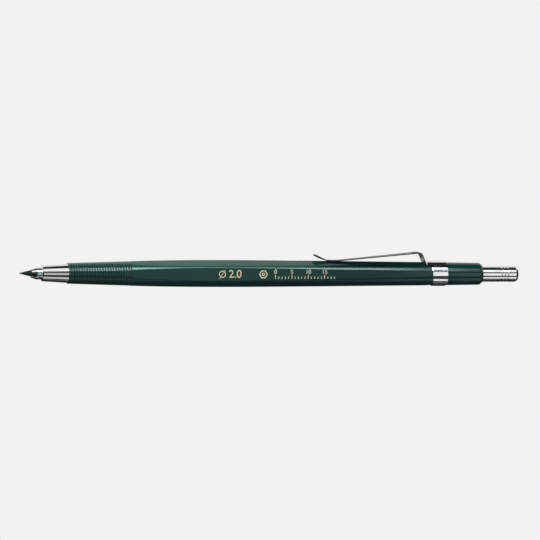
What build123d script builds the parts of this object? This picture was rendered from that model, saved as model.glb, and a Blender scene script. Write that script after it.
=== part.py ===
from build123d import *
import os
from math import cos, radians, sin

# A clutch pencil for 2 mm leads, lying on one flat of its six-sided barrel. Lengths are in millimetres
# and angles in degrees.
#
# +X runs along the pencil from the lead's point to the push button, +Y points to the clip, and +Z is up
# from the flat it lies on. The origin is on that flat, midway along the pencil. A "radius" is a distance
# from the pencil's axis, which runs along X at the height HALF_FLATS. An "_x" is a place along X.

# The whole pencil
LENGTH = 152.0
HALF_FLATS = 3.65  # axis to each flat of the barrel
RUNNING = 0.05  # radial clearance between pieces that slide on each other
SOLDER_GAP = 0.01  # radial clearance of a joint that is soldered or screwed tight

# Lead
LEAD_RADIUS = 1.0
LEAD_LENGTH = 130.0
POINT_LENGTH = 3.6
POINT_RADIUS = 0.1

# Barrel: a grooved grip, a swelling six-sided middle and a round tail
BARREL_FRONT_X = -61.4
GRIP_END_X = -42.0
SHOULDER_X = 64.2
BARREL_REAR_X = 65.1
GRIP_FRONT_RADIUS = 3.12
SWELL_RADII = (3.69, 4.455, 3.705, 3.65, 3.275)  # evenly spaced control points of the outline
REAR_FACE_RADIUS = 2.6
BARREL_EDGE = 0.12
BORE_RADIUS = 2.42

# Grooves of the grip
GROOVE_COUNT = 24
GROOVE_PITCH = 0.79
FIRST_GROOVE_X = -60.8
GROOVE_DEPTH = 0.13
GROOVE_RADIUS = 0.28

# Nose sleeve, which screws into a threaded bush in the barrel's mouth
SLEEVE_FRONT_X = -69.2
SLEEVE_FRONT_RADIUS = 2.40
SLEEVE_REAR_RADIUS = 2.83
SLEEVE_BEVEL = 0.30
MOUTH_RADIUS = 1.88
THROAT_RADIUS = 1.65
MOUTH_LENGTH = 1.6
THROAT_LENGTH = 1.0
SPIGOT_RADIUS = 2.30
SPIGOT_REAR_X = -55.0
THREAD_RELIEF = 0.15
RELIEF_LENGTH = 0.8
SPIGOT_CHAMFER = 0.2
BUSH_RADIUS = 2.65
BUSH_FRONT_X = -60.9
BUSH_REAR_X = -55.6

# Collet: three jaws that grip the lead, on a body that slides in the sleeve
JAW_COUNT = 3
FIRST_JAW_ANGLE = 20.0  # from +Y towards +Z
JAW_SLOT_ANGLE = 14.0
JAW_BORE_RADIUS = 1.02
JAW_TIP_X = -72.4
JAW_TIP_RADIUS = 1.30
JAW_HEAD_RADIUS = 1.83
JAW_HEAD_FRONT_X = -70.8
JAW_HEAD_REAR_X = -69.1
JAW_TAPER_RADIUS = 1.61
JAW_NECK_X = -67.0
JAW_NECK_RADIUS = 1.35
JAW_ROOT_X = -58.0
ROOT_GAP = 0.05
GUIDE_RADIUS = 1.70
GUIDE_REAR_X = -54.0
GUIDE_CHAMFER = 0.15
SOCKET_RADIUS = 1.60
SOCKET_FRONT_X = -53.0
COLLET_REAR_X = -50.0
COLLET_BORE_RADIUS = 1.08

# Lead tube, with the collar that the return spring pushes on
TUBE_RADIUS = 1.45
TUBE_BORE_RADIUS = 1.20
TUBE_REAR_X = 60.0
COLLAR_FRONT_X = -40.0
COLLAR_LENGTH = 1.5
COLLAR_RADIUS = 2.25
COLLAR_CHAMFER = 0.2

# Return spring, between the sleeve's spigot and the collar
WIRE_RADIUS = 0.175
COIL_RADIUS = 1.92
COIL_TURNS = 11
END_GAP = 0.05

# Push button, screwed on the lead tube
BUTTON_FRONT_X = 54.0
BUTTON_RADIUS = BORE_RADIUS - RUNNING
BUTTON_CHAMFER_LENGTH = 0.8
BUTTON_END_RADIUS = 1.9
BUTTON_SOCKET_X = 61.0
BUTTON_BORE_RADIUS = 1.15
BUTTON_BORE_X = 74.4
BUTTON_GROOVES_X = (70.9, 71.85, 72.8)
BUTTON_GROOVE_RADIUS = 0.2

# Clip: a band around the barrel's tail, and an arm that springs away from the barrel
SHEET = 0.25
BAND_REAR_X = 54.0
BAND_TOP_X = 48.7  # front edge on the clip's side
BAND_BOTTOM_X = 50.0  # front edge on the side away from the clip
SADDLE_TOP = 3.95
SADDLE_FOOT = 3.10
SADDLE_HALF_WIDTH = 1.8
SADDLE_FRONT_X = 48.35
SADDLE_REAR_X = 53.7
HINGE_GAP = 0.05
LIP_X = 13.7
LIP_TOP = 5.70
HEEL_X = 18.4
HEEL_TOP = 4.05
HUMP_FRONT_X = 45.9
HUMP_REAR_X = 46.9
HUMP_TOP = 6.38
LEG_FOOT_X = 47.55
BEND_RADII = (1.5, 0.5, 0.35, 0.4)  # heel, two corners of the hump, foot
LIP_WIDTH = 2.2
LEG_WIDTH = 5.0
LIP_CORNER = 0.9

PENCIL_AXIS = Axis((0, 0, HALF_FLATS), (1, 0, 0))


def profile_plane(angle=90.0):
    """A plane through the pencil's axis: local x is X, and local y is the radius at this angle."""
    normal = (0, -sin(radians(angle)), cos(radians(angle)))
    return Plane(origin=(0, 0, HALF_FLATS), x_dir=(1, 0, 0), z_dir=normal)


def cross_plane(x):
    """A plane across the pencil at x: local x is Y, and local y is the height above the axis."""
    return Plane(origin=(x, 0, HALF_FLATS), x_dir=(0, 1, 0), z_dir=(1, 0, 0))


def grip_radius(x):
    """Radius of the grip before it is grooved."""
    share = (x - BARREL_FRONT_X) / (GRIP_END_X - BARREL_FRONT_X)
    return GRIP_FRONT_RADIUS + share * (SWELL_RADII[0] - GRIP_FRONT_RADIUS)


# Barrel: a turned outline cut back to six flats, so it is round only where it is thin
swell_step = (SHOULDER_X - GRIP_END_X) / (len(SWELL_RADII) - 1)
swell_points = [(GRIP_END_X + i * swell_step, radius) for i, radius in enumerate(SWELL_RADII)]
groove_places = [FIRST_GROOVE_X + i * GROOVE_PITCH for i in range(GROOVE_COUNT)]

with BuildPart() as barrel:
    with BuildSketch(profile_plane()):
        with BuildLine():
            Polyline(
                (BARREL_FRONT_X, BUSH_RADIUS),
                (BARREL_FRONT_X, GRIP_FRONT_RADIUS - BARREL_EDGE),
                (BARREL_FRONT_X + BARREL_EDGE, grip_radius(BARREL_FRONT_X + BARREL_EDGE)),
                swell_points[0],
            )
            Bezier(*swell_points)
            Polyline(
                swell_points[-1],
                (BARREL_REAR_X, REAR_FACE_RADIUS),
                (BARREL_REAR_X, BORE_RADIUS),
                (BUSH_REAR_X, BORE_RADIUS),
                (BUSH_REAR_X, BUSH_RADIUS),
                (BARREL_FRONT_X, BUSH_RADIUS),
            )
        make_face()
    revolve(axis=PENCIL_AXIS)
    with BuildSketch(cross_plane(BARREL_FRONT_X)):
        RegularPolygon(radius=HALF_FLATS, side_count=6, major_radius=False)
    extrude(amount=BARREL_REAR_X - BARREL_FRONT_X, mode=Mode.INTERSECT)
    with BuildSketch(profile_plane()):
        with Locations(*[(x, grip_radius(x) + GROOVE_RADIUS - GROOVE_DEPTH) for x in groove_places]):
            Circle(GROOVE_RADIUS)
    revolve(axis=PENCIL_AXIS, mode=Mode.SUBTRACT)
    # Seat of the clip's band
    with BuildSketch(profile_plane()):
        with BuildLine():
            Polyline(
                (SADDLE_FRONT_X, HALF_FLATS - SHEET),
                (SADDLE_FRONT_X, HALF_FLATS),
                (BAND_REAR_X, HALF_FLATS),
                (BAND_REAR_X, HALF_FLATS - SHEET),
                close=True,
            )
        make_face()
    revolve(axis=PENCIL_AXIS, mode=Mode.SUBTRACT)

with BuildPart() as nose_bush:
    with BuildSketch(cross_plane(BUSH_FRONT_X)):
        Circle(BUSH_RADIUS)
        Circle(SPIGOT_RADIUS + SOLDER_GAP, mode=Mode.SUBTRACT)
    extrude(amount=BUSH_REAR_X - BUSH_FRONT_X)

# The sleeve's mouth narrows to a throat that closes the jaws as the spring draws them back
with BuildPart() as nose_sleeve:
    with BuildSketch(profile_plane()):
        with BuildLine():
            Polyline(
                (SLEEVE_FRONT_X, MOUTH_RADIUS),
                (SLEEVE_FRONT_X, SLEEVE_FRONT_RADIUS - SLEEVE_BEVEL),
                (SLEEVE_FRONT_X + SLEEVE_BEVEL, SLEEVE_FRONT_RADIUS),
                (BARREL_FRONT_X, SLEEVE_REAR_RADIUS),
                (BARREL_FRONT_X, SPIGOT_RADIUS - THREAD_RELIEF),
                (BARREL_FRONT_X + RELIEF_LENGTH, SPIGOT_RADIUS - THREAD_RELIEF),
                (BARREL_FRONT_X + RELIEF_LENGTH, SPIGOT_RADIUS),
                (SPIGOT_REAR_X - SPIGOT_CHAMFER, SPIGOT_RADIUS),
                (SPIGOT_REAR_X, SPIGOT_RADIUS - SPIGOT_CHAMFER),
                (SPIGOT_REAR_X, GUIDE_RADIUS + RUNNING),
                (SLEEVE_FRONT_X + MOUTH_LENGTH + THROAT_LENGTH, GUIDE_RADIUS + RUNNING),
                (SLEEVE_FRONT_X + MOUTH_LENGTH + THROAT_LENGTH, THROAT_RADIUS),
                (SLEEVE_FRONT_X + MOUTH_LENGTH, THROAT_RADIUS),
                close=True,
            )
        make_face()
    revolve(axis=PENCIL_AXIS)

# Collet jaws: thin springy arms with thick heads, each a third of a ring
jaw_arc = 360.0 / JAW_COUNT - JAW_SLOT_ANGLE
collet_jaws = {}
for i in range(JAW_COUNT):
    jaw_angle = FIRST_JAW_ANGLE + i * 360.0 / JAW_COUNT
    with BuildPart() as collet_jaw:
        with BuildSketch(profile_plane(jaw_angle - jaw_arc / 2)):
            with BuildLine():
                Polyline(
                    (JAW_TIP_X, JAW_BORE_RADIUS),
                    (JAW_TIP_X, JAW_TIP_RADIUS),
                    (JAW_HEAD_FRONT_X, JAW_HEAD_RADIUS),
                    (JAW_HEAD_REAR_X, JAW_HEAD_RADIUS),
                    (SLEEVE_FRONT_X + MOUTH_LENGTH, JAW_TAPER_RADIUS),
                    (JAW_NECK_X, JAW_NECK_RADIUS),
                    (JAW_ROOT_X, JAW_NECK_RADIUS),
                    (JAW_ROOT_X, JAW_BORE_RADIUS),
                    close=True,
                )
            make_face()
        revolve(axis=PENCIL_AXIS, revolution_arc=jaw_arc)
    collet_jaws["collet_jaw_" + "abc"[i]] = collet_jaw

with BuildPart() as collet_body:
    with BuildSketch(profile_plane()):
        with BuildLine():
            Polyline(
                (JAW_ROOT_X + ROOT_GAP, COLLET_BORE_RADIUS),
                (JAW_ROOT_X + ROOT_GAP, GUIDE_RADIUS - GUIDE_CHAMFER),
                (JAW_ROOT_X + ROOT_GAP + GUIDE_CHAMFER, GUIDE_RADIUS),
                (GUIDE_REAR_X, GUIDE_RADIUS),
                (GUIDE_REAR_X, SOCKET_RADIUS),
                (COLLET_REAR_X, SOCKET_RADIUS),
                (COLLET_REAR_X, TUBE_RADIUS + SOLDER_GAP),
                (SOCKET_FRONT_X, TUBE_RADIUS + SOLDER_GAP),
                (SOCKET_FRONT_X, COLLET_BORE_RADIUS),
                close=True,
            )
        make_face()
    revolve(axis=PENCIL_AXIS)

with BuildPart() as lead_tube:
    with BuildSketch(cross_plane(SOCKET_FRONT_X)):
        Circle(TUBE_RADIUS)
        Circle(TUBE_BORE_RADIUS, mode=Mode.SUBTRACT)
    extrude(amount=TUBE_REAR_X - SOCKET_FRONT_X)

with BuildPart() as spring_collar:
    with BuildSketch(cross_plane(COLLAR_FRONT_X)):
        Circle(COLLAR_RADIUS)
        Circle(TUBE_RADIUS + SOLDER_GAP, mode=Mode.SUBTRACT)
    extrude(amount=COLLAR_LENGTH)
    outer_edges = spring_collar.edges().filter_by(GeomType.CIRCLE).sort_by(SortBy.RADIUS)[-2:]
    chamfer(outer_edges, length=COLLAR_CHAMFER)

coil_front_x = SPIGOT_REAR_X + END_GAP + WIRE_RADIUS
coil_height = COLLAR_FRONT_X - END_GAP - WIRE_RADIUS - coil_front_x
with BuildPart() as return_spring:
    with BuildLine():
        coil = Helix(
            pitch=coil_height / COIL_TURNS,
            height=coil_height,
            radius=COIL_RADIUS,
            center=(coil_front_x, 0, HALF_FLATS),
            direction=(1, 0, 0),
        )
    with BuildSketch(Plane(origin=coil @ 0, z_dir=coil % 0)):
        Circle(WIRE_RADIUS)
    sweep(is_frenet=True)

with BuildPart() as push_button:
    with BuildSketch(profile_plane()):
        with BuildLine():
            Polyline(
                (BUTTON_FRONT_X, TUBE_RADIUS + SOLDER_GAP),
                (BUTTON_FRONT_X, BUTTON_RADIUS),
                (LENGTH / 2 - BUTTON_CHAMFER_LENGTH, BUTTON_RADIUS),
                (LENGTH / 2, BUTTON_END_RADIUS),
                (LENGTH / 2, 0),
                (BUTTON_BORE_X, 0),
                (BUTTON_BORE_X, BUTTON_BORE_RADIUS),
                (BUTTON_SOCKET_X, BUTTON_BORE_RADIUS),
                (BUTTON_SOCKET_X, TUBE_RADIUS + SOLDER_GAP),
                close=True,
            )
        make_face()
    revolve(axis=PENCIL_AXIS)
    with BuildSketch(profile_plane()):
        with Locations(*[(x, BUTTON_RADIUS) for x in BUTTON_GROOVES_X]):
            Circle(BUTTON_GROOVE_RADIUS)
    revolve(axis=PENCIL_AXIS, mode=Mode.SUBTRACT)

with BuildPart() as lead:
    with BuildSketch(profile_plane()):
        with BuildLine():
            Polyline(
                (-LENGTH / 2, 0),
                (-LENGTH / 2, POINT_RADIUS),
                (-LENGTH / 2 + POINT_LENGTH, LEAD_RADIUS),
                (-LENGTH / 2 + LEAD_LENGTH, LEAD_RADIUS),
                (-LENGTH / 2 + LEAD_LENGTH, 0),
                close=True,
            )
        make_face()
    revolve(axis=PENCIL_AXIS)

# Clip band: a ring with a slanted front edge and a raised saddle on the clip's side
with BuildPart() as clip_band:
    with BuildSketch(cross_plane(SADDLE_FRONT_X)):
        Circle(HALF_FLATS)
    extrude(amount=BAND_REAR_X - SADDLE_FRONT_X)
    slant = Plane(
        origin=(BAND_TOP_X, HALF_FLATS, HALF_FLATS),
        x_dir=(0, 0, 1),
        z_dir=(2 * HALF_FLATS, BAND_BOTTOM_X - BAND_TOP_X, 0),
    )
    split(bisect_by=slant, keep=Keep.TOP)
    with BuildSketch(cross_plane(SADDLE_FRONT_X)):
        with BuildLine():
            ThreePointArc(
                (SADDLE_FOOT, -SADDLE_HALF_WIDTH), (SADDLE_TOP, 0), (SADDLE_FOOT, SADDLE_HALF_WIDTH)
            )
            Line((SADDLE_FOOT, SADDLE_HALF_WIDTH), (SADDLE_FOOT, -SADDLE_HALF_WIDTH))
        make_face()
    extrude(amount=SADDLE_REAR_X - SADDLE_FRONT_X)
    with BuildSketch(cross_plane(SADDLE_FRONT_X)):
        Circle(HALF_FLATS - SHEET)
    extrude(amount=BAND_REAR_X - SADDLE_FRONT_X, mode=Mode.SUBTRACT)

# Clip arm: one bent strip, narrowing from its leg to its lip
arm_route = [
    (LIP_X, LIP_TOP),
    (HEEL_X, HEEL_TOP),
    (HUMP_FRONT_X, HUMP_TOP),
    (HUMP_REAR_X, HUMP_TOP),
    (LEG_FOOT_X, SADDLE_TOP),
    (SADDLE_FRONT_X - HINGE_GAP, SADDLE_TOP),
]
with BuildPart() as clip_arm:
    with BuildSketch(Plane.XY.offset(HALF_FLATS)):
        with BuildLine():
            FilletPolyline(*arm_route, radius=BEND_RADII)
            offset(amount=SHEET, side=Side.RIGHT)
        make_face()
    extrude(amount=LEG_WIDTH / 2, both=True)
    with BuildSketch(Plane(origin=(0, HUMP_TOP, HALF_FLATS), x_dir=(1, 0, 0), z_dir=(0, -1, 0))) as outline:
        with BuildLine():
            Polyline(
                (LIP_X, -LIP_WIDTH / 2),
                (LIP_X, LIP_WIDTH / 2),
                (HUMP_FRONT_X, LEG_WIDTH / 2),
                (SADDLE_FRONT_X, LEG_WIDTH / 2),
                (SADDLE_FRONT_X, -LEG_WIDTH / 2),
                (HUMP_FRONT_X, -LEG_WIDTH / 2),
                close=True,
            )
        make_face()
        fillet(outline.vertices().group_by(Axis.X)[0], radius=LIP_CORNER)
    extrude(amount=HUMP_TOP, mode=Mode.INTERSECT)

os.makedirs("parts", exist_ok=True)
pieces = {
    "barrel": barrel,
    "nose_bush": nose_bush,
    "nose_sleeve": nose_sleeve,
    "collet_body": collet_body,
    "lead_tube": lead_tube,
    "spring_collar": spring_collar,
    "return_spring": return_spring,
    "push_button": push_button,
    "lead": lead,
    "clip_band": clip_band,
    "clip_arm": clip_arm,
    **collet_jaws,
}
for name, piece in pieces.items():
    piece.part.label = name
    export_step(piece.part, f"parts/{name}.step")
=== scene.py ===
from math import asin, atan2, ceil, comb, cos, degrees, pi, radians, sin, tan

import bpy
import numpy as np
from mathutils import Matrix, Vector


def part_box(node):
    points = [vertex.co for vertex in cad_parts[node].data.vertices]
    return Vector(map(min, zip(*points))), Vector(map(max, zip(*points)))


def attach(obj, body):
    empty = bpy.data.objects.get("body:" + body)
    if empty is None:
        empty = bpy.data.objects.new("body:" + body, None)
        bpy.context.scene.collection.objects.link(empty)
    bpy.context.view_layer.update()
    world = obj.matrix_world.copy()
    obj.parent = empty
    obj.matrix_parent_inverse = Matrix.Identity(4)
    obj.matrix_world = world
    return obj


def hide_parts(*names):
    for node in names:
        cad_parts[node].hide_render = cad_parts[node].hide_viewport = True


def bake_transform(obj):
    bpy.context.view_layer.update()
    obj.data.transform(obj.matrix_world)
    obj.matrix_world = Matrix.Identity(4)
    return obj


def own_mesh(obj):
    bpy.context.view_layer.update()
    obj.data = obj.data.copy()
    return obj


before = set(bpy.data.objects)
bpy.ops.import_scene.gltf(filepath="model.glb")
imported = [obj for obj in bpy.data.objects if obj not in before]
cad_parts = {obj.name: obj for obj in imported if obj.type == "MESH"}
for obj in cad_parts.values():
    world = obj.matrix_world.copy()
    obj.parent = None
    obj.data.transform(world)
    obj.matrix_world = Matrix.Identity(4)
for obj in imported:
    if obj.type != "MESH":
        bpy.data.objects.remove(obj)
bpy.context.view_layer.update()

# A clutch pencil on a pale floor. Shapes are worked out in millimetres, with y and z counted from the
# pencil's axis, and put into the frame's metres by to_frame. Angles about the axis run from +Y to +Z.

MM = 0.001


def extent(node):
    """Lowest and highest corners of a CAD node in millimetres."""
    low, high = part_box(node)
    return low / MM, high / MM


BARREL_LOW, BARREL_HIGH = extent("barrel")
SLEEVE_LOW, SLEEVE_HIGH = extent("nose_sleeve")
BUTTON_LOW, BUTTON_HIGH = extent("push_button")
LEAD_LOW, LEAD_HIGH = extent("lead")
BAND_LOW, BAND_HIGH = extent("clip_band")
ARM_LOW, ARM_HIGH = extent("clip_arm")
SPRING_LOW, SPRING_HIGH = extent("return_spring")
JAW_LOW, JAW_HIGH = extent("collet_jaw_a")
AXIS_Z = (BUTTON_LOW.z + BUTTON_HIGH.z) / 2


def to_frame(points):
    """Points in millimetres about the pencil's axis, as metres in the frame."""
    return (np.asarray(points, float) + (0, 0, AXIS_Z)) * MM


def smooth_step(t):
    t = np.clip(t, 0, 1)
    return t * t * (3 - 2 * t)


# Mesh building ---------------------------------------------------------------------------------------

STRAIGHT = 1e-6  # a corner that turns by less than this, in radians, is left as one row
CAP_RADIUS = 0.05  # where an open outline stops short of the axis and a flat cap closes it


def rounded(corners, closed=True, steps=5):
    """Rows (x, radius, normal x, normal radius) along an outline of (x, radius, fillet) corners. The outside
    is on the left of the way along it. An open outline keeps its two ends as they are."""
    spots = [np.array(corner[:2], float) for corner in corners]
    rows = []
    for i, (x, radius, fillet) in enumerate(corners):
        before = spots[i] - spots[i - 1]
        after = spots[(i + 1) % len(spots)] - spots[i]
        if not closed and i == 0:
            before = after
        if not closed and i == len(spots) - 1:
            after = before
        before = before / np.linalg.norm(before)
        after = after / np.linalg.norm(after)
        turn = atan2(before[0] * after[1] - before[1] * after[0], float(before @ after))
        if abs(turn) < STRAIGHT:
            rows.append((x, radius, -after[1], after[0]))
            continue
        out = np.array((-before[1], before[0]))
        start = spots[i] - before * fillet * tan(abs(turn) / 2)
        bulge = -fillet if turn > 0 else fillet
        for k in range(steps + 1):
            c, s = cos(turn * k / steps), sin(turn * k / steps)
            normal = np.array((c * out[0] - s * out[1], s * out[0] + c * out[1]))
            rows.append((*(start - bulge * out + bulge * normal), *normal))
    return rows


def lathe(rows, angles):
    """Points and normals, row by row, of an outline turned to these angles in degrees."""
    x, radius, nx, nr = (column[:, None] for column in np.array(rows, float).T)
    across, up = np.cos(np.radians(angles)), np.sin(np.radians(angles))
    points = np.stack([x + 0 * across, radius * across, radius * up], -1)
    normals = np.stack([nx + 0 * across, nr * across, nr * up], -1)
    return points, normals


def quads(rows, columns, wrap_rows, wrap_columns):
    """Faces of a grid of points, facing out where rows run along +x and columns from +Y to +Z."""
    faces = []
    for i in range(rows if wrap_rows else rows - 1):
        for j in range(columns if wrap_columns else columns - 1):
            i2, j2 = (i + 1) % rows, (j + 1) % columns
            faces.append((i * columns + j, i * columns + j2, i2 * columns + j2, i2 * columns + j))
    return faces


def new_object(name, data):
    made = bpy.data.objects.new(name, data)
    bpy.context.scene.collection.objects.link(made)
    return made


def mesh_object(name, points, faces, normals=None, wear_and_shade=None):
    """A smooth-shaded object from points in millimetres. The wear-and-shade values become an attribute that
    materials read, with wear above 0 and painted shade below 0.
    """
    mesh = bpy.data.meshes.new(name)
    mesh.from_pydata(to_frame(np.reshape(points, (-1, 3))).tolist(), [], faces)
    mesh.shade_smooth()
    if wear_and_shade is not None:
        attribute = mesh.attributes.new("wear_and_shade", "FLOAT", "POINT")
        attribute.data.foreach_set("value", np.ravel(wear_and_shade).astype(np.float32))
    if normals is not None:
        listed = np.reshape(normals, (-1, 3))
        units = listed / np.linalg.norm(listed, axis=1)[:, None]
        mesh.normals_split_custom_set_from_vertices(units.tolist())
    return new_object(name, mesh)


def turned(name, rows, closed, segments=96):
    """A piece turned from an outline, with its two ends capped if the outline is open."""
    points, normals = lathe(rows, np.arange(segments) * 360 / segments)
    faces = quads(len(rows), segments, closed, True)
    if not closed:
        faces.append(tuple(range(segments))[::-1])
        faces.append(tuple(range((len(rows) - 1) * segments, len(rows) * segments)))
    return mesh_object(name, points, faces, normals)


def baked(draft, name):
    """The mesh of a draft object with its modifiers or its text worked out. The draft is removed."""
    bpy.context.view_layer.update()
    mesh = bpy.data.meshes.new_from_object(draft.evaluated_get(bpy.context.evaluated_depsgraph_get()))
    bpy.data.objects.remove(draft)
    mesh.name = name
    return mesh


# Materials -------------------------------------------------------------------------------------------


class Look:
    """A material built of nodes. Its noises are counted in millimetres of the frame."""

    def __init__(self, name, **constants):
        self.material = bpy.data.materials.new(name)
        self.material.use_nodes = True
        self.tree = self.material.node_tree
        self.tree.nodes.clear()
        self.shader = self.node("BsdfPrincipled", constants)
        self.node("OutputMaterial", {"Surface": self.shader.outputs[0]})
        self.place = self.node("TexCoord").outputs["Object"]

    def node(self, kind, inputs=None, **settings):
        """A new node, with each input either linked to a socket or set to a value."""
        made = self.tree.nodes.new("ShaderNode" + kind)
        for key, value in settings.items():
            setattr(made, key, value)
        for key, value in (inputs or {}).items():
            if isinstance(value, bpy.types.NodeSocket):
                self.tree.links.new(value, made.inputs[key])
            else:
                made.inputs[key].default_value = value
        return made

    def noise(self, per_mm, detail=3.0, roughness=0.55, distortion=0.0):
        """Noise from 0 to 1 with this many features a millimetre along x, y and z."""
        scaled = self.node("Mapping", {"Vector": self.place, "Scale": tuple(v / MM for v in per_mm)})
        inputs = {
            "Vector": scaled.outputs[0],
            "Scale": 1.0,
            "Detail": detail,
            "Roughness": roughness,
            "Distortion": distortion,
        }
        return self.node("TexNoise", inputs).outputs[0]

    def remap(self, value, low, high, to_low, to_high):
        made = self.node("MapRange", {0: value, 1: low, 2: high, 3: to_low, 4: to_high})
        return made.outputs[0]

    def math(self, operation, a, b):
        return self.node("Math", {0: a, 1: b}, operation=operation).outputs[0]

    def ramp(self, value, *stops):
        """A colour ramp of (position, colour) stops."""
        made = self.node("ValToRGB", {0: value})
        marks = made.color_ramp.elements
        for mark, (position, colour) in zip(marks, stops, strict=True):
            mark.position, mark.color = position, (*colour, 1)
        return made.outputs[0]

    def mix(self, share, a, b):
        made = self.node("Mix", {0: share, 6: a, 7: b}, data_type="RGBA")
        return made.outputs[2]

    def use(self, socket, value):
        self.tree.links.new(value, self.shader.inputs[socket])

    def bump(self, height, microns):
        made = self.node("Bump", {"Height": height, "Distance": microns * 1e-6, "Strength": 1.0})
        self.use("Normal", made.outputs[0])

    def scratches(self, along, across, threshold):
        """Fine hairlines along x: 1 on a scratch and 0 elsewhere."""
        lines = self.noise((along, across, across), 2.0, 0.6, 0.4)
        return self.remap(lines, threshold, threshold + 0.05, 0.0, 1.0)


def plastic_look():
    """Polished dark green plastic, rubbed a little paler along its edges, with shade painted darker into its
    grooves.
    """
    look = Look("dark_green_plastic", IOR=1.5)
    cloud = look.noise((0.08, 0.2, 0.2), 4.0)
    green = look.ramp(cloud, (0.3, (0.0056, 0.0385, 0.0325)), (0.7, (0.0080, 0.0520, 0.0440)))
    worn_and_shaded = look.node("Attribute", attribute_name="wear_and_shade").outputs["Fac"]
    rubbed = look.math("MAXIMUM", worn_and_shaded, 0.0)
    patches = look.remap(look.noise((0.5, 1.5, 1.5)), 0.35, 0.75, 0.0, 0.6)
    patchy = look.math("MULTIPLY", rubbed, patches)
    # painted shade: below 0 the attribute darkens the grip's grooves and makes them rougher
    groove_shade = look.remap(worn_and_shaded, 0.0, -1.0, 0.0, 0.45)
    clean = look.mix(patchy, green, (0.022, 0.075, 0.063, 1))
    look.use("Base Color", look.mix(groove_shade, clean, (0.002, 0.012, 0.010, 1)))
    hairline = look.scratches(0.25, 9.0, 0.66)
    smudge = look.remap(look.noise((0.15, 0.4, 0.4), 5.0), 0.3, 0.7, 0.08, 0.12)
    rough = look.math("ADD", smudge, look.math("MULTIPLY", hairline, 0.07))
    rough = look.math("ADD", rough, look.math("MULTIPLY", groove_shade, 0.10))
    look.use("Roughness", look.math("ADD", rough, look.math("MULTIPLY", patchy, 0.10)))
    height = look.math("ADD", look.noise((0.7, 1.4, 1.4), 2.0), look.math("MULTIPLY", hairline, -0.35))
    look.bump(height, 0.6)
    return look.material


def chrome_look(name, microns):
    """Polished chrome, with the lathe's marks round the piece this many microns deep."""
    look = Look(name, Metallic=1.0)
    haze = look.noise((0.3, 0.5, 0.5), 4.0)
    look.use("Base Color", look.ramp(haze, (0.25, (0.76, 0.765, 0.77)), (0.75, (0.85, 0.855, 0.86))))
    hairline = look.scratches(0.5, 7.0, 0.67)
    marks = look.noise((9.0, 0.02, 0.02), 1.0)
    rough = look.remap(haze, 0.3, 0.7, 0.04, 0.08)
    look.use("Roughness", look.math("ADD", rough, look.math("MULTIPLY", hairline, 0.06)))
    look.bump(look.math("SUBTRACT", marks, look.math("MULTIPLY", hairline, 0.2)), microns)
    return look.material


def graphite_look():
    """Sharpened graphite: dark, slightly metallic, with the sharpener's fine rings."""
    look = Look("graphite", Metallic=0.55, IOR=1.6)
    grain = look.noise((3.0, 6.0, 6.0), 4.0)
    look.use("Base Color", look.ramp(grain, (0.3, (0.012, 0.020, 0.017)), (0.7, (0.028, 0.042, 0.036))))
    rings = look.noise((9.0, 0.6, 0.6), 3.0)
    look.use("Roughness", look.remap(rings, 0.3, 0.7, 0.24, 0.40))
    look.bump(look.math("ADD", rings, look.math("MULTIPLY", grain, 0.5)), 4.0)
    return look.material


def metal_look(name, dark, light, rough, per_mm, microns, metallic=1.0):
    """Turned or drawn metal whose fine marks run as per_mm says."""
    look = Look(name, Metallic=metallic)
    stain = look.noise((0.3, 0.8, 0.8), 4.0)
    marks = look.noise(per_mm, 3.0)
    look.use("Base Color", look.ramp(stain, (0.3, dark), (0.7, light)))
    look.use("Roughness", look.remap(marks, 0.3, 0.7, rough * 0.75, rough * 1.3))
    look.bump(marks, microns)
    return look.material


EVEN = (5.0, 5.0, 5.0)  # marks that run no particular way
PLASTIC = plastic_look()
CHROME_TURNED = chrome_look("chrome_turned", 0.05)
CHROME_SHEET = chrome_look("chrome_sheet", 0.03)
# the clip's inner faces: chrome darkened and tinted blue-green, as painted shade and a painted reflection of
# the barrel on the side facing it
CHROME_SHADED_INSIDE = metal_look(
    "chrome_shaded_inside", (0.10, 0.115, 0.115), (0.17, 0.185, 0.185), 0.28, (2.0, 5.0, 5.0), 0.6
)
SHEARED = metal_look("sheared_edge", (0.05, 0.05, 0.052), (0.11, 0.11, 0.115), 0.32, EVEN, 1.2)
GRAPHITE = graphite_look()
BRASS = metal_look("turned_brass", (0.60, 0.42, 0.17), (0.78, 0.60, 0.30), 0.26, (12.0, 0.1, 0.1), 1.5)
STEEL = metal_look("spring_steel", (0.36, 0.36, 0.37), (0.50, 0.50, 0.51), 0.30, (4.0, 4.0, 4.0), 0.8)
FOIL = metal_look("gold_foil", (0.74, 0.66, 0.44), (0.92, 0.86, 0.66), 0.34, EVEN, 2.5, 0.4)


def dress(made, body, slot, look, *nodes):
    """A finished piece: its material, its body and the CAD nodes it stands for. The slot argument is not
    used.
    """
    made.data.materials.clear()
    made.data.materials.append(look)
    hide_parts(*nodes)
    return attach(made, body)


# Barrel ----------------------------------------------------------------------------------------------

PRINT_FLAT, REAR_FLAT = 3.52, 3.44  # distance of the flats from the axis at the print and behind it
CLOSING_START, CLOSING_LENGTH = 21, 10  # where the flats close in from one to the other
HALF_FLAT = 30  # half of the turn that one of the six flats takes up, in degrees
HALF_FLAT_TAN = tan(radians(HALF_FLAT))
SHARP_REACH = 1 / cos(radians(HALF_FLAT)) - 1  # how far a sharp corner would reach past the flats, as a share
GRIP_END = -42.0
GRIP_FRONT_RADIUS = 3.12
SWELL_RADII = (3.69, 4.455, 3.705, 3.65, 3.275)
CHORD_ERROR = 0.001  # the CAD mesh lies this far inside its own curve
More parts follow.
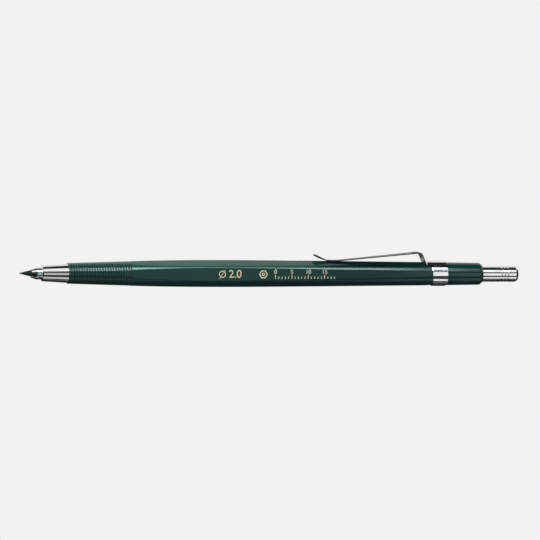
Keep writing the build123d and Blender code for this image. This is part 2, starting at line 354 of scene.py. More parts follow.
# where the rows along the swell change their spacing, as (start, spacing), up to the clip's band
STRETCHES = ((GRIP_END, 0.2), (-38.0, 0.4), (-30.0, 1.0), (-20.0, 2.0), (24.0, 0.8), (36.0, 1.5))
SEAT_DEPTH = 0.26
SHOULDER, SHOULDER_RADIUS = 64.2, 3.26
TAIL_START, TAIL_RADIUS = SHOULDER - 0.6, 2.6
BORE_RADIUS = 2.42
MOUTH_RADIUS, MOUTH_END = 2.65, -55.6
FRONT_EDGE = BARREL_LOW.x + 0.13  # the end of the rounding of the barrel's front edge
FIRST_GROOVE, GROOVES, PITCH = -60.8, 24, 0.79
GROOVE_ROUND, GROOVE_DEPTH, GROOVE_HALF = 0.28, 0.13, 0.26
GROOVE_STEPS = (-0.205, -0.13, -0.045, 0.045, 0.13, 0.205)
FLAT_MIN = 0.15  # half-width kept for the columns of a flat where the barrel is round
CORNER_MIN = 0.3  # least radius of the corners between the flats
CORNER_SHARES = (0, 0.08, 0.2, 0.35, 0.5, 0.67, 0.84, 1)
# the wear and shade attribute is above 0 where hands rub the plastic and below 0 in the grip's grooves, where
# it paints shade
CORNER_WEAR, RIDGE_WEAR, GROOVE_SHADE = 1.0, 0.4, -1.0
WORN_FLAT, WORN_TILT = 0.3, radians(20)  # a corner is rubbed past this tilt, beside a flat this wide
GROOVE_LOWEST, RIDGE_MARGIN = GRIP_FRONT_RADIUS - 0.2, 0.02  # radii that count as a groove of the grip


def grip_line(x):
    share = (x - BARREL_LOW.x) / (GRIP_END - BARREL_LOW.x)
    return GRIP_FRONT_RADIUS + share * (SWELL_RADII[0] - GRIP_FRONT_RADIUS)


def swell(x):
    """Radius of the barrel behind the grip: a Bezier curve with SWELL_RADII for its control points."""
    t = (x - GRIP_END) / (SHOULDER - GRIP_END)
    last = len(SWELL_RADII) - 1
    curve = sum(comb(last, k) * t**k * (1 - t) ** (last - k) * r for k, r in enumerate(SWELL_RADII))
    return curve - CHORD_ERROR


def curve_row(x, radius_at):
    slope = (radius_at(x + 0.01) - radius_at(x - 0.01)) / 0.02
    normal = np.array((-slope, 1.0)) / np.hypot(slope, 1.0)
    return (x, radius_at(x), *normal)


def barrel_rows():
    """The barrel's outline: back along its outside, and forward again through its bore."""
    rows = [curve_row(FRONT_EDGE, grip_line)]
    for i in range(GROOVES):
        middle = FIRST_GROOVE + i * PITCH
        centre = grip_line(middle) + GROOVE_ROUND - GROOVE_DEPTH
        rows.append(curve_row(middle - GROOVE_HALF, grip_line))
        for dx in GROOVE_STEPS:
            rise = (GROOVE_ROUND**2 - dx**2) ** 0.5
            rows.append((middle + dx, centre - rise, -dx / GROOVE_ROUND, rise / GROOVE_ROUND))
        rows.append(curve_row(middle + GROOVE_HALF, grip_line))
    ends = [start for start, _ in STRETCHES[1:]] + [BAND_LOW.x - 0.1]
    for (start, step), end in zip(STRETCHES, ends, strict=True):
        count = ceil((end - start) / step)
        rows += [curve_row(start + (end - start) * k / count, swell) for k in range(count)]
    front, rear = BAND_LOW.x - 0.02, BAND_HIGH.x + 0.03
    seat = AXIS_Z - SEAT_DEPTH
    rows.append(curve_row(front - 0.06, swell))
    rows += rounded([
        (front - 0.02, swell(front), 0), (front, swell(front), 0.02), (front, seat, 0.02),
        (rear, seat, 0.02), (rear, swell(rear), 0.04), (rear + 0.3, swell(rear + 0.3), 0),
    ], False, 3)[1:]
    rows += [curve_row(x, swell) for x in np.linspace(rear + 0.8, TAIL_START, 8)]
    tail = rounded([
        (TAIL_START, swell(TAIL_START), 0), (SHOULDER + 0.12, SHOULDER_RADIUS, 0.75),
        (BARREL_HIGH.x, TAIL_RADIUS, 0.12), (BARREL_HIGH.x, BORE_RADIUS, 0.05),
        (MOUTH_END, BORE_RADIUS, 0.03), (MOUTH_END, MOUTH_RADIUS, 0.03),
        (BARREL_LOW.x, MOUTH_RADIUS, 0.05), (BARREL_LOW.x, GRIP_FRONT_RADIUS, 0.10),
        (FRONT_EDGE, grip_line(FRONT_EDGE), 0),
    ], False)
    return rows + tail[1:-1]


def section(x, radius):
    """The flats' half-width, the corners' radius and the flats' distance from the axis, where the corners
    reach out to this radius. Where the barrel is round, it is all corner."""
    height = PRINT_FLAT + (REAR_FLAT - PRINT_FLAT) * smooth_step((x - CLOSING_START) / CLOSING_LENGTH)
    if radius <= height or x > BAND_LOW.x:
        return 0.0, radius, radius
    sharp = height / cos(radians(HALF_FLAT))
    corner = max(CORNER_MIN, (sharp - radius) / (sharp / height - 1))
    return (height - corner) * HALF_FLAT_TAN, corner, height


def half_facet(flat, corner, height):
    """Columns from a flat's middle to its corner's middle, as (sideways, distance from the axis, tilt)."""

    def on_corner(tilt):
        return flat + corner * sin(tilt), height - corner * (1 - cos(tilt)), tilt

    columns = []
    for sideways in (0.0, max(flat, FLAT_MIN) * 0.5):
        past = sideways - flat
        columns.append(on_corner(asin(past / corner)) if past > 0 else (sideways, height, 0.0))
    first = asin(max(0.0, FLAT_MIN - flat) / corner)
    return columns + [on_corner(first + (radians(HALF_FLAT) - first) * share) for share in CORNER_SHARES]


def barrel():
    """The turned outline cut back to six flats with rounded corners. Columns keep to the flats' edges."""
    rows = barrel_rows()
    points, normals, wear_and_shade = [], [], []
    for x, radius, nx, nr in rows:
        flat, corner, height = section(x, radius)
        half = half_facet(flat, corner, height)
        places = [(-1, *spot) for spot in half[:0:-1]] + [(1, *spot) for spot in half[:-1]]
        gripped = BARREL_LOW.x < x < GRIP_END and nr > 0
        groove = gripped and GROOVE_LOWEST < radius < grip_line(x) - RIDGE_MARGIN
        for facet in range(6):
            middle = radians(HALF_FLAT + 2 * HALF_FLAT * facet)
            out = np.array((cos(middle), sin(middle)))
            side_way = np.array((-sin(middle), cos(middle)))
            for side, sideways, rise, tilt in places:
                turned_share = (cos(tilt) + HALF_FLAT_TAN * sin(tilt) - 1) / SHARP_REACH
                lean = nx * turned_share if flat else nx
                facing = out * cos(tilt) + side_way * side * sin(tilt)
                points.append((x, *(out * rise + side_way * side * sideways)))
                normals.append((lean, *(facing * nr)))
                # the grip's grooves take the value that paints shade
                if groove:
                    wear_and_shade.append(GROOVE_SHADE)
                elif flat > WORN_FLAT and tilt > WORN_TILT:
                    wear_and_shade.append(CORNER_WEAR)
                else:
                    wear_and_shade.append(RIDGE_WEAR if gripped else 0.0)
    columns = len(points) // len(rows)
    return mesh_object("barrel_shell", points, quads(len(rows), columns, True, True), normals, wear_and_shade)


dress(barrel(), "barrel", "barrel_plastic", PLASTIC, "barrel")

# Nose sleeve -----------------------------------------------------------------------------------------

SLEEVE_FRONT_RADIUS, SLEEVE_REAR_RADIUS = 2.37, 2.83
SLEEVE_MOUTH, SLEEVE_THROAT, SLEEVE_BORE = 1.88, 1.65, 1.75
THROAT_FRONT, THROAT_REAR = SLEEVE_LOW.x + 1.6, SLEEVE_LOW.x + 2.6
SPIGOT_RADIUS = 2.30
RELIEF_RADIUS, RELIEF_REAR = SPIGOT_RADIUS - 0.15, BARREL_LOW.x + 0.8
sleeve_rows = rounded([
    (SLEEVE_LOW.x, SLEEVE_MOUTH, 0.12), (SLEEVE_LOW.x, SLEEVE_FRONT_RADIUS, 0.26),
    (BARREL_LOW.x, SLEEVE_REAR_RADIUS, 0.05), (BARREL_LOW.x, RELIEF_RADIUS, 0.05),
    (RELIEF_REAR, RELIEF_RADIUS, 0.05), (RELIEF_REAR, SPIGOT_RADIUS, 0.05),
    (SLEEVE_HIGH.x, SPIGOT_RADIUS, 0.2), (SLEEVE_HIGH.x, SLEEVE_BORE, 0.05),
    (THROAT_REAR, SLEEVE_BORE, 0.04), (THROAT_REAR, SLEEVE_THROAT, 0.04), (THROAT_FRONT, SLEEVE_THROAT, 0.15),
])
dress(turned("nose_sleeve_turned", sleeve_rows, True), "barrel", "chrome", CHROME_TURNED, "nose_sleeve")

# Push button -----------------------------------------------------------------------------------------

BUTTON_RADIUS = (BUTTON_HIGH.z - BUTTON_LOW.z) / 2
BUTTON_SOCKET, BUTTON_BORE = 1.46, 1.15
SOCKET_END, BORE_END = 61.0, 74.4
BUTTON_GROOVES = (70.9, 71.85, 72.8)
GROOVE_FLOOR = BUTTON_RADIUS - 0.19
CHAMFER_START, CHAMFER_RADIUS = BUTTON_HIGH.x - 0.72, 1.93
button_rows = rounded([
    (BORE_END, CAP_RADIUS, 0), (BORE_END, BUTTON_BORE, 0.1), (SOCKET_END, BUTTON_BORE, 0.05),
    (SOCKET_END, BUTTON_SOCKET, 0.05), (BUTTON_LOW.x, BUTTON_SOCKET, 0.05),
    (BUTTON_LOW.x, BUTTON_RADIUS, 0.08), (BUTTON_GROOVES[0] - 0.6, BUTTON_RADIUS, 0),
], False)
for x in BUTTON_GROOVES:
    button_rows += rounded([
        (x - 0.30, BUTTON_RADIUS, 0), (x - 0.19, BUTTON_RADIUS, 0.06), (x - 0.10, GROOVE_FLOOR, 0.08),
        (x + 0.10, GROOVE_FLOOR, 0.08), (x + 0.19, BUTTON_RADIUS, 0.06), (x + 0.30, BUTTON_RADIUS, 0),
    ], False, 3)
button_rows += rounded([
    (BUTTON_GROOVES[-1] + 0.7, BUTTON_RADIUS, 0), (CHAMFER_START, BUTTON_RADIUS, 0.28),
    (BUTTON_HIGH.x, CHAMFER_RADIUS, 0.16), (BUTTON_HIGH.x, 1.0, 0), (BUTTON_HIGH.x, CAP_RADIUS, 0),
], False)
dress(turned("push_button_turned", button_rows, False), "clutch", "chrome", CHROME_TURNED, "push_button")

# Lead ------------------------------------------------------------------------------------------------

LEAD_RADIUS = 1.0
CONE_END = LEAD_LOW.x + 3.6
FLANK_X, FLANK_RADIUS = CONE_END - 0.9, 0.775  # a point on the cone's flank, short of its rounded end
lead_rows = [(LEAD_LOW.x + 0.005, 0.01, -1, 0)]
lead_rows += rounded([
    (LEAD_LOW.x, 0.02, 0), (LEAD_LOW.x + 0.01, 0.10, 0.05), (FLANK_X, FLANK_RADIUS, 0),
], False, 4)[1:-1]
lead_rows += rounded([
    (FLANK_X, FLANK_RADIUS, 0), (CONE_END, LEAD_RADIUS, 0.5), (CONE_END + 0.6, LEAD_RADIUS, 0),
], False, 4)
lead_rows += rounded([
    (LEAD_HIGH.x - 1, LEAD_RADIUS, 0), (LEAD_HIGH.x, LEAD_RADIUS, 0.1), (LEAD_HIGH.x, CAP_RADIUS, 0),
], False)
dress(turned("lead_stick", lead_rows, False, 64), "lead", "graphite", GRAPHITE, "lead")

# Collet jaws -----------------------------------------------------------------------------------------

FIRST_JAW, JAW_SLOT = 20.0, 14.0  # degrees
JAW_BORE, JAW_HEAD, JAW_NECK = 1.03, 1.83, 1.35
JAW_MIDDLE = 1.6  # radius at which the bevel is turned into an angle
JAW_BEVEL = 0.04
jaw_rows = rounded([
    (JAW_LOW.x, JAW_BORE, 0.05), (JAW_LOW.x, 1.30, 0.12), (-70.8, JAW_HEAD, 0.35), (-69.1, JAW_HEAD, 0.15),
    (-67.6, 1.61, 0.15), (-67.0, JAW_NECK, 0.15), (JAW_HIGH.x, JAW_NECK, 0.05), (JAW_HIGH.x, JAW_BORE, 0.05),
])


def jaw(name, middle):
    """A third of the collet about this angle, with the edges of its slots bevelled."""
    low = middle - 60 + JAW_SLOT / 2
    high = low + 120 - JAW_SLOT
    inset = degrees(JAW_BEVEL / JAW_MIDDLE)
    angles = [low, *np.linspace(low + inset, high - inset, 25), high]
    points, normals = lathe(jaw_rows, angles)
    core = np.array([(x - JAW_BEVEL * nx, r - JAW_BEVEL * nr, nx, nr) for x, r, nx, nr in jaw_rows])
    shrunk, _ = lathe(core, angles)
    for column, way in ((0, -1), (-1, 1)):
        points[:, column] = shrunk[:, column]
        facing = radians(angles[column])
        normals[:, column] = (0, -way * sin(facing), way * cos(facing))
    rows, columns = len(jaw_rows), len(angles)
    faces = quads(rows, columns, True, False)
    faces.append(tuple(k * columns for k in range(rows)))
    faces.append(tuple(k * columns + columns - 1 for k in range(rows))[::-1])
    return mesh_object(name, points, faces, normals)


for i, letter in enumerate("abc"):
    sprung = jaw(f"collet_jaw_{letter}_sprung", FIRST_JAW + 120 * i)
    dress(sprung, f"jaw_{letter}", "chrome", CHROME_TURNED, f"collet_jaw_{letter}")

# Clip: one bent sheet, with a band round the barrel and a sprung arm ---------------------------------

SHEET, LIP_SHEET = 0.25, 0.50
EDGE_BEVEL = 0.05
BAND_RADIUS = AXIS_Z - 0.01  # room for the bevelled edges
SADDLE_RISE = BAND_HIGH.y - BAND_RADIUS  # how far the band stands out under the clip's foot
SADDLE_SPREAD = 31.0  # degrees on either side of the foot's middle over which it does so
BAND_FRONT_TOP, BAND_FRONT_BOTTOM = 49.05, 49.75  # the front edge slants between these, from +Y to -Y
BAND_WAIST = 0.3  # the band's rear edge comes this far forward at +Y and at -Y
BAND_SHARES = (0, 0.015, 0.05, 0.13, 0.25, 0.4, 0.6, 0.75, 0.87, 0.95, 0.985, 1)
FOOT_X = BAND_LOW.x + 0.55
FOOT_SPREAD = 14  # degrees past the foot in which the band's front edge swings back to its slant
LEG_HALF = (ARM_HIGH.z - ARM_LOW.z) / 2
FOOT_ANGLE = degrees(asin(LEG_HALF / BAND_RADIUS))
LIP_TOP, LIP_HALF, LIP_CORNER = 5.85, 1.1, 0.9
LIP_REAR, LIP_TAPER = 17.5, 1.6  # the heavier lip thins down to the sheet over the taper
REST_Y, REST_END = 4.05, 21.3
HUMP_FRONT, HUMP_REAR = 45.2, 46.0
HEEL_X = 47.80
CURL_HEIGHT = 1.9  # the leg takes up the band's roundness over this height above the foot
ARM_SPACING = 0.8
# the arm's outer face seen from the side, as (x, y, fillet) corners
arm_corners = [
    (ARM_LOW.x, LIP_TOP, 0), (LIP_REAR, REST_Y, 1.2), (REST_END, REST_Y, 20), (HUMP_FRONT, ARM_HIGH.y, 0.5),
    (HUMP_REAR, ARM_HIGH.y, 0.35), (HEEL_X, BAND_HIGH.y, 0.4), (FOOT_X, BAND_HIGH.y, 0),
]
NEAR_FOOT = (1.0, 3.0, 6.0)  # degrees from the foot to the band's first columns on either side of it
# angles about the axis of the columns that the arm shares with the band
TAB_ANGLES = [
    -FOOT_ANGLE, -FOOT_ANGLE + 1.0, *np.linspace(-FOOT_ANGLE + 3.2, FOOT_ANGLE - 3.2, 23),
    FOOT_ANGLE - 1.0, FOOT_ANGLE,
]


def band_radius(angle):
    return BAND_RADIUS + SADDLE_RISE * (1 - smooth_step(abs(angle) / SADDLE_SPREAD))


def arm_rows():
    """(x, y) along the outer face of the arm, from its lip to its foot."""
    rows = [row[:2] for row in rounded(arm_corners, False, 8)]
    filled = [rows[0]]
    for a, b in zip(rows, rows[1:]):
        dx, dy = b[0] - a[0], b[1] - a[1]
        count = max(1, ceil(np.hypot(dx, dy) / ARM_SPACING))
        filled += [(a[0] + dx * k / count, a[1] + dy * k / count) for k in range(1, count + 1)]
    slope = (filled[1][1] - filled[0][1]) / (filled[1][0] - filled[0][0])
    lip = [(ARM_LOW.x + d, LIP_TOP + d * slope) for d in (0, 0.02, 0.07, 0.16, 0.3, 0.5, 0.72)]
    return lip + [p for p in filled if p[0] > ARM_LOW.x + LIP_CORNER]


def arm_points(rows):
    """The arm's outer face, a row of points for each (x, y)."""
    points = []
    for x, y in rows:
        share = (x - ARM_LOW.x) / (HUMP_FRONT - ARM_LOW.x)
        half = min(LEG_HALF, LIP_HALF + share * (LEG_HALF - LIP_HALF))
        gone = max(0.0, LIP_CORNER - (x - ARM_LOW.x))
        half -= LIP_CORNER - (LIP_CORNER**2 - gone**2) ** 0.5
        curl = 1 - smooth_step((y - BAND_HIGH.y) / CURL_HEIGHT) if x > HUMP_REAR - 0.5 else 0
        for angle in TAB_ANGLES:
            radius = band_radius(angle)
            drop = BAND_HIGH.y - radius * cos(radians(angle))
            points.append((x, y - curl * drop, radius * sin(radians(angle)) * half / LEG_HALF))
    return points


def band_point(turn, share):
    """A point of the band's outer face at this angle and share of its length."""
    radius = band_radius(turn)
    height = radius * cos(radians(turn))
    drop_share = (BAND_RADIUS - height) / (2 * BAND_RADIUS)
    slant = BAND_FRONT_TOP + drop_share * (BAND_FRONT_BOTTOM - BAND_FRONT_TOP)
    start = FOOT_X + (slant - FOOT_X) * smooth_step((abs(turn) - FOOT_ANGLE) / FOOT_SPREAD)
    stop = BAND_HIGH.x - BAND_WAIST * abs(cos(radians(turn))) ** 4
    return start + (stop - start) * share, height, radius * sin(radians(turn))


def sheet_face(rows):
    """Points and faces of the outer face: a grid for the arm and one for the band that share the foot."""
    points = arm_points(rows)
    width = len(TAB_ANGLES)
    foot = (len(rows) - 1) * width
    faces = quads(len(rows), width, False, False)
    around = [*NEAR_FOOT, *np.arange(10, 360 - 2 * FOOT_ANGLE - 9, 4.0)]
    angles = TAB_ANGLES + [FOOT_ANGLE + s for s in around] + [360 - FOOT_ANGLE - s for s in NEAR_FOOT[::-1]]
    index = {}  # the number of the point at each row and column of the band
    for row, share in enumerate(BAND_SHARES):
        for column, angle in enumerate(angles):
            if row == 0 and column < width:
                index[row, column] = foot + column
                continue
            index[row, column] = len(points)
            points.append(band_point(angle if angle <= 180 else angle - 360, share))
    for row in range(len(BAND_SHARES) - 1):
        for column in range(len(angles)):
            after = (column + 1) % len(angles)
            spots = ((row, column), (row, after), (row + 1, after), (row + 1, column))
            faces.append(tuple(index[spot] for spot in spots))
    return points, faces


def clip():
    """The outer face thickened inwards, most at the lip, with its edges bevelled."""
    rows = arm_rows()
    points, faces = sheet_face(rows)
    mesh = bpy.data.meshes.new("clip_sheet_draft")
    mesh.from_pydata(points, [], faces)
    for look in (CHROME_SHEET, CHROME_SHADED_INSIDE, SHEARED):
        mesh.materials.append(look)
    draft = new_object("clip_draft", mesh)
    heavy = draft.vertex_groups.new(name="heavy")
    width = len(TAB_ANGLES)
    for row, (x, _) in enumerate(rows):
        lip = 1 - smooth_step((x - LIP_REAR + LIP_TAPER) / LIP_TAPER)
        sheet = SHEET + (LIP_SHEET - SHEET) * lip
        heavy.add(list(range(row * width, (row + 1) * width)), float(sheet / LIP_SHEET), "REPLACE")
    heavy.add(list(range(len(rows) * width, len(points))), SHEET / LIP_SHEET, "REPLACE")
    thick = draft.modifiers.new("thickness", "SOLIDIFY")
    thick.thickness = LIP_SHEET
    thick.offset = -1
    thick.use_even_offset = False
    thick.vertex_group = heavy.name
    # the inner faces take the darkened chrome, painted shade
    thick.material_offset = 1
    thick.material_offset_rim = 2
    edge = draft.modifiers.new("edges", "BEVEL")
    edge.width = EDGE_BEVEL
    edge.segments = 2
    edge.limit_method = "ANGLE"
    edge.angle_limit = radians(50)
    made = baked(draft, "clip_sheet")
    made.transform(Matrix.Scale(MM, 4) @ Matrix.Translation((0, 0, AXIS_Z)))
    made.shade_smooth()
    return new_object("clip_sheet", made)


clip_sheet = clip()
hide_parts("clip_band", "clip_arm")
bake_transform(clip_sheet)

# Return spring ---------------------------------------------------------------------------------------

WIRE, COIL, TURNS = 0.17, 1.92, 11.0
TURN_STEPS, WIRE_SIDES = 28, 10
CROWDING = 0.045  # how far the turns crowd towards the ends, as a share of the length


def spring():
    """A coil with closed ends, drawn as a tube along its wire."""
    count = int(TURNS * TURN_STEPS)
    low, high = SPRING_LOW.x + WIRE, SPRING_HIGH.x - WIRE
    share = np.linspace(0, 1, count)
    eased = share - CROWDING * np.sin(2 * pi * share)
    angle = 2 * pi * TURNS * share
    line = np.stack([low + (high - low) * eased, COIL * np.cos(angle), COIL * np.sin(angle)], -1)
    along = np.gradient(line, axis=0)
    along /= np.linalg.norm(along, axis=1)[:, None]
    out = np.stack([0 * share, np.cos(angle), np.sin(angle)], -1)
    side = np.cross(along, out)
    turns = np.linspace(0, 2 * pi, WIRE_SIDES, endpoint=False)
    normals = np.stack([out * cos(turn) + side * sin(turn) for turn in turns], 1)
    points = line[:, None] + WIRE * normals
    faces = quads(count, WIRE_SIDES, False, True)
    faces.append(tuple(range(WIRE_SIDES))[::-1])
    faces.append(tuple(range((count - 1) * WIRE_SIDES, count * WIRE_SIDES)))
    return mesh_object("return_spring_coil", points, faces)


coil = dress(spring(), "barrel", "spring_steel", STEEL, "return_spring")
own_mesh(coil)

# Print: gold foil on the upper flat ------------------------------------------------------------------

FOIL_TOP = PRINT_FLAT + 0.01
FOIL_DEPTH = 0.012
SIZE_X, SIZE_HEIGHT = -11.1, 3.3
DIAMETER_X, HEXAGON_X = -15.0, -2.5
SCALE_START, SCALE_LENGTH, SCALE_FOOT = 1.2, 18, -1.35
SHORT_MARK, LONG_MARK, MARK_WIDTH = 0.7, 1.25, 0.20
NUMERAL_Y, NUMERAL_HEIGHT = 0.72, 1.75
NUMERAL_WEIGHT = 0.02


def raised(points, faces, outer, hole=()):
    """Adds one thin raised shape between a closed outline and, if it has one, its hole of as many points."""
    count, base = len(outer), len(points)
    for outline in (outer, hole):
        for height in (FOIL_TOP - FOIL_DEPTH, FOIL_TOP):
            points += [(x, y, height) for x, y in outline]
    for k in range(count):
        after = (k + 1) % count
        low, high, hole_low, hole_high = (base + level * count for level in range(4))
        faces.append((low + k, low + after, high + after, high + k))
        if hole:
            faces.append((hole_low + k, hole_high + k, hole_high + after, hole_low + after))
            faces.append((high + k, high + after, hole_high + after, hole_high + k))
            faces.append((low + k, hole_low + k, hole_low + after, low + after))
    if not hole:
        faces.append(tuple(range(base, base + count))[::-1])
        faces.append(tuple(range(base + count, base + 2 * count)))


def foil(name, shapes):
    """A thin raised print from shapes of (outline,) or (outline, hole)."""
    points, faces = [], []
    for shape in shapes:
        raised(points, faces, *shape)
    mesh = bpy.data.meshes.new(name)
    mesh.from_pydata(to_frame(points).tolist(), [], faces)
    return dress(new_object(name, mesh), "barrel", "gold_foil", FOIL)


def numerals(name, body, x, y, size):
    """Digits set in Blender's own font, as a thin mesh, centred at (x, y)."""
    text = bpy.data.curves.new(name, "FONT")
    text.body = body
    text.size = size
    text.extrude = FOIL_DEPTH / 2
    text.offset = NUMERAL_WEIGHT
    text.align_x = "CENTER"
    text.align_y = "CENTER"
    mesh = baked(new_object(name + "_draft", text), name)
    mesh.transform(Matrix.Scale(MM, 4) @ Matrix.Translation((x, y, AXIS_Z + FOIL_TOP - FOIL_DEPTH / 2)))
    return dress(new_object(name, mesh), "barrel", "gold_foil", FOIL)


def ring(x, outer, inner, count=24):
    """A flat ring on the flat's middle line, with flat sides when count is small."""
    turns = [2 * pi * k / count for k in range(count)]
    return tuple([(x + radius * cos(t), radius * sin(t)) for t in turns] for radius in (outer, inner))


def bar(x, y, width, height):
    left, right = x - width / 2, x + width / 2
    return ([(left, y), (right, y), (right, y + height), (left, y + height)],)


SLASH = ([(-15.95, -1.30), (-15.70, -1.30), (-14.05, 1.30), (-14.30, 1.30)],)
numerals("print_size", "2.0", SIZE_X, 0.0, SIZE_HEIGHT)
foil("print_diameter", [ring(DIAMETER_X, 1.08, 0.80), SLASH])
foil("print_hexagon", [ring(HEXAGON_X, 1.35, 1.0, 6), ring(HEXAGON_X, 0.55, 0.25, 6)])
foil("print_scale", [
    bar(SCALE_START + k, SCALE_FOOT, MARK_WIDTH, SHORT_MARK if k % 5 else LONG_MARK)
    for k in range(SCALE_LENGTH + 1)
])
for k in (0, 5, 10, 15):
    numerals(f"print_{k}", str(k), SCALE_START + k, NUMERAL_Y, NUMERAL_HEIGHT)

# CAD nodes that stay inside the barrel keep their shape and take these finishes
INSIDE = {"nose_bush": BRASS, "collet_body": CHROME_TURNED, "lead_tube": BRASS, "spring_collar": BRASS}
for node, look in INSIDE.items():
    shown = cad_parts[node]
    shown.data.materials.clear()
    shown.data.materials.append(look)

# Studio, in metres -----------------------------------------------------------------------------------

PALE = 0.888  # brightness of the floor and the background
WORLD_UNSEEN = 0.01
WHITE, TEAL, YELLOW = (1, 1, 1), (0.74, 1, 1), (1.0, 1.0, 0.78)
DOME = 0.30  # distance of the strips from the pencil's axis
CARD_Z = 1e-4


def glow(name, strength, tint):
    """A plain emitting material for the studio."""
    made = bpy.data.materials.new(name)
    made.use_nodes = True
    tree = made.node_tree
    tree.nodes.clear()
    emission = tree.nodes.new("ShaderNodeEmission")
    emission.inputs["Color"].default_value = (*tint, 1)
    emission.inputs["Strength"].default_value = strength
    output = tree.nodes.new("ShaderNodeOutputMaterial")
    tree.links.new(emission.outputs[0], output.inputs[0])
    return made


def panel(name, x_low, x_high, edge, opposite, strength, tint=WHITE, **hidden):
    """A flat panel along x between two edges given as (y, z), with the rays it is hidden from."""
    corners = [(x_low, *edge), (x_high, *edge), (x_high, *opposite), (x_low, *opposite)]
    mesh = bpy.data.meshes.new(name)
    mesh.from_pydata(corners, [], [(0, 1, 2, 3)])
    made = new_object(name, mesh)
    mesh.materials.append(glow(name, strength, tint))
    for ray, shown in hidden.items():
        setattr(made, "visible_" + ray, shown)


def strip(name, low, high, strength, x_low, x_high, **hidden):
    """A long panel parallel to the pencil, between two angles from the zenith towards +Y."""
    edges = [(DOME * sin(radians(v)), DOME * cos(radians(v)) + AXIS_Z * MM) for v in (low, high)]
    panel(name, x_low, x_high, *edges, strength, **{"camera": False, "shadow": False, **hidden})


def card(name, x_low, x_high, y_low, y_high, strength, diffuse=False):
    """A dark card on the floor that the camera doesn't see and polished surfaces mirror."""
    edges = [(y, CARD_Z) for y in (y_low, y_high)]
    panel(name, x_low, x_high, *edges, strength, camera=False, diffuse=diffuse, shadow=False)


panel("floor", -3, 3, (-3, 0), (3, 0), PALE)
# each zone is the stretch of the strips that one part of the pencil mirrors: its name, its ends in x, its
# tint, and the two angles and the strength of its softbox, overhead strip and far strip
zones = (
    ("tip", -0.40, -0.075, WHITE, (30, 69, 1.12), None, None),
    ("nose", -0.075, -0.010, WHITE, (30, 69, 1.00), (-17, 6, 0.62), (-73, -46, 0.60)),
    ("grip", -0.010, 0.022, TEAL, (28, 61, 11.0), (-26, 10, 0.47), (-66, -50, 0.50)),
    ("body", 0.022, 0.1180, TEAL, (28, 61, 8.0), (-26, 10, 0.43), (-66, -50, 0.50)),
    ("ring", 0.1180, 0.1290, WHITE, (41, 67, 1.07), (-17, 22, 1.05), (-70, -47, 0.95)),
    ("tail", 0.1290, 0.1365, TEAL, (28, 61, 5.0), (-12, 4, 0.60), (-66, -52, 0.55)),
    ("end", 0.1365, 0.50, WHITE, (28, 60, 1.06), (-23, 9, 1.05), (-73, -43, 0.85)),
)
for zone, x_low, x_high, tint, softbox, overhead, far in zones:
    for label, lit in (("softbox", softbox), ("overhead", overhead), ("far", far)):
        if lit:
            strip(f"{label}_{zone}", *lit, x_low, x_high, tint=tint, diffuse=False)
strip("filler", 11, 27, 0.12, -0.075, 0.50)
strip("near_filler", -46, -28, 0.05, -0.075, 0.50)
# far_fill lights the barrel's far side, except below the clip, where a black screen keeps it off
panel("far_fill", -0.062, 0.006, (0.070, 0.002), (0.064, 0.036), 11.0, YELLOW,
      camera=False, glossy=False, shadow=False)
panel("clip_shade", 0.0125, 0.0480, (0.0090, 0.001), (0.0090, 0.011), 0.0, camera=False, glossy=False)
strip("sky", -20, 42, 1.5, -0.20, 0.20, glossy=False)
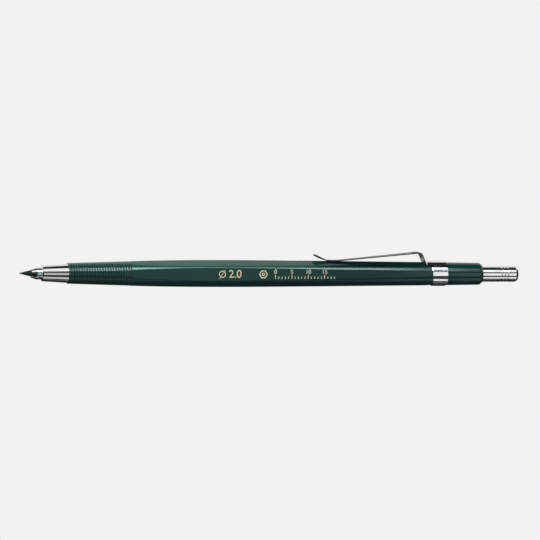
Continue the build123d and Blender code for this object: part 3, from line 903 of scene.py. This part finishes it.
# windows on the near side, which hardly show in the photo's view and brighten the others
for label, x_low, x_high in (("far_left", -2.4, -1.2), ("left", -0.45, 0.08), ("right", 0.65, 2.4)):
    panel(f"window_{label}", x_low, x_high, (-1.5, 0.12), (-1.5, 1.2), 0.9,
          camera=False, diffuse=False, shadow=False)
card("near_black", -1, -0.0735, -0.15, -0.0005, 0.003)
card("near_dark", -0.0735, 1, -0.15, -0.0005, 0.03, diffuse=True)
card("far_dark", -1, 1, 0.0155, 1, 0.02)
card("under_clip_lip", 0.010, 0.0195, 0.0037, 0.0076, 0.05)
card("under_clip_arm", 0.0195, 0.0445, 0.0037, 0.0076, 0.25)
card("under_clip_leg", 0.0445, 0.0485, 0.0037, 0.0076, 0.11)

# World: the background's colour to the camera, and nearly black to everything else
world = bpy.data.worlds.new("studio")
bpy.context.scene.world = world
world.use_nodes = True
nodes, links = world.node_tree.nodes, world.node_tree.links
nodes.clear()
seen = nodes.new("ShaderNodeBackground")
seen.inputs["Color"].default_value = (PALE, PALE, PALE, 1)
unseen = nodes.new("ShaderNodeBackground")
unseen.inputs["Color"].default_value = (WORLD_UNSEEN, WORLD_UNSEEN, WORLD_UNSEEN, 1)
path = nodes.new("ShaderNodeLightPath")
choice = nodes.new("ShaderNodeMixShader")
output = nodes.new("ShaderNodeOutputWorld")
links.new(path.outputs["Is Camera Ray"], choice.inputs[0])
links.new(unseen.outputs[0], choice.inputs[1])
links.new(seen.outputs[0], choice.inputs[2])
links.new(choice.outputs[0], output.inputs[0])
bpy.context.scene.view_settings.view_transform = "Standard"

# Camera ----------------------------------------------------------------------------------------------

YAW, PITCH_UP, ROLL = radians(13.6), radians(4.0), radians(0.06)
LENS, SENSOR = 1200.0, 36.0
VIEW_WIDTH = 160.27
SHIFT_RIGHT, SHIFT_UP = 0.336, 1.05
towards = Vector((-sin(YAW), sin(PITCH_UP) * cos(YAW), cos(PITCH_UP) * cos(YAW)))
pencil_way = Vector((1, 0, 0))
level_right = (pencil_way - towards * pencil_way.dot(towards)).normalized()
level_up = towards.cross(level_right)
right = level_right * cos(ROLL) + level_up * sin(ROLL)
up = level_up * cos(ROLL) - level_right * sin(ROLL)
aim = Vector((0, 0, AXIS_Z)) + right * SHIFT_RIGHT + up * SHIFT_UP
place = (aim + towards * VIEW_WIDTH * LENS / SENSOR) * MM
camera_data = bpy.data.cameras.new("camera")
camera_data.lens = LENS
camera_data.sensor_width = SENSOR
camera = new_object("camera", camera_data)
camera.matrix_world = Matrix.Translation(place) @ Matrix((right, up, towards)).transposed().to_4x4()
bpy.context.scene.camera = camera

bpy.context.view_layer.update()
